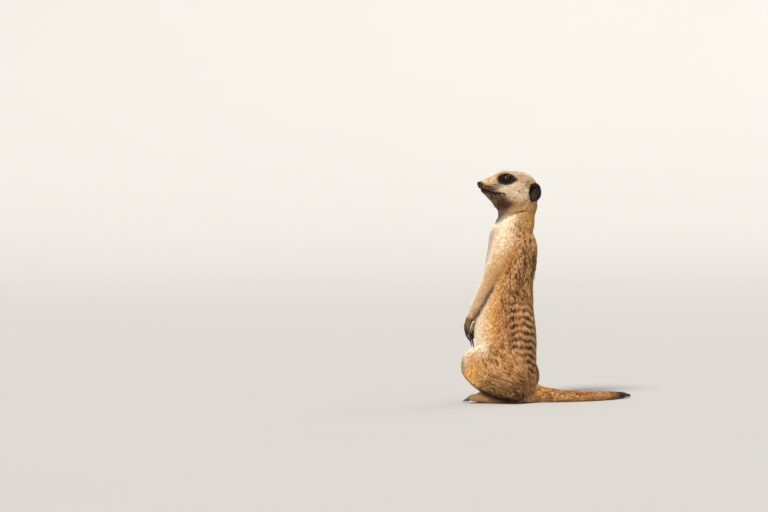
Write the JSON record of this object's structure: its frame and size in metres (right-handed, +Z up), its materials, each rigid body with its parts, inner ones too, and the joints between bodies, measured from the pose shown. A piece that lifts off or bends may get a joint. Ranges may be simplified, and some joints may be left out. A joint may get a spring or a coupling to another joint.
{
  "type": "sitting meerkat, still model",
  "caption": "Life-size still model of a meerkat sitting upright on its rump, arms hanging in front of the belly, head turned a little aside, tail curved on the floor.",
  "frame": {"origin": "on the floor, under the middle of the whole footprint, tail included", "axes": "+Z up, the chest faces -Y, the animal's left side is +X; the tail runs back along +Y and curves to -X"},
  "size_m": [0.1826, 0.1808, 0.281],
  "materials": {
    "pale_fur": "short pale cream fur",
    "tan_fur": "grizzled golden-brown fur with dark bands on the back",
    "rust_fur": "short rusty-brown fur",
    "dark_fur": "very short black-brown fur",
    "nose_skin": "moist black bare skin",
    "eye": "clear, polished, very dark brown",
    "claw": "dark horn, satin"
  },
  "bodies": {
    "root": {"claw_front_left_1": "claw", "claw_front_left_2": "claw", "claw_front_left_3": "claw", "claw_front_left_4": "claw", "claw_front_right_1": "claw", "claw_front_right_2": "claw", "claw_front_right_3": "claw", "claw_front_right_4": "claw", "claw_hind_left_1": "claw", "claw_hind_left_2": "claw", "claw_hind_left_3": "claw", "claw_hind_left_4": "claw", "claw_hind_right_1": "claw", "claw_hind_right_2": "claw", "claw_hind_right_3": "claw", "claw_hind_right_4": "claw", "ear_left": "dark_fur", "ear_right": "dark_fur", "eye_left": "eye", "eye_right": "eye", "forearm_left": "tan_fur", "forearm_right": "tan_fur", "forepaw_left": "tan_fur", "forepaw_right": "tan_fur", "head": "pale_fur", "hind_foot_left": "pale_fur", "hind_foot_right": "pale_fur", "lower_jaw": "pale_fur", "neck": "pale_fur", "nose": "nose_skin", "shank_left": "tan_fur", "shank_right": "tan_fur", "tail": "rust_fur", "tail_tip": "dark_fur", "thigh_left": "tan_fur", "thigh_right": "tan_fur", "trunk": "tan_fur", "upper_arm_left": "tan_fur", "upper_arm_right": "tan_fur"}
  },
  "joints": []
}
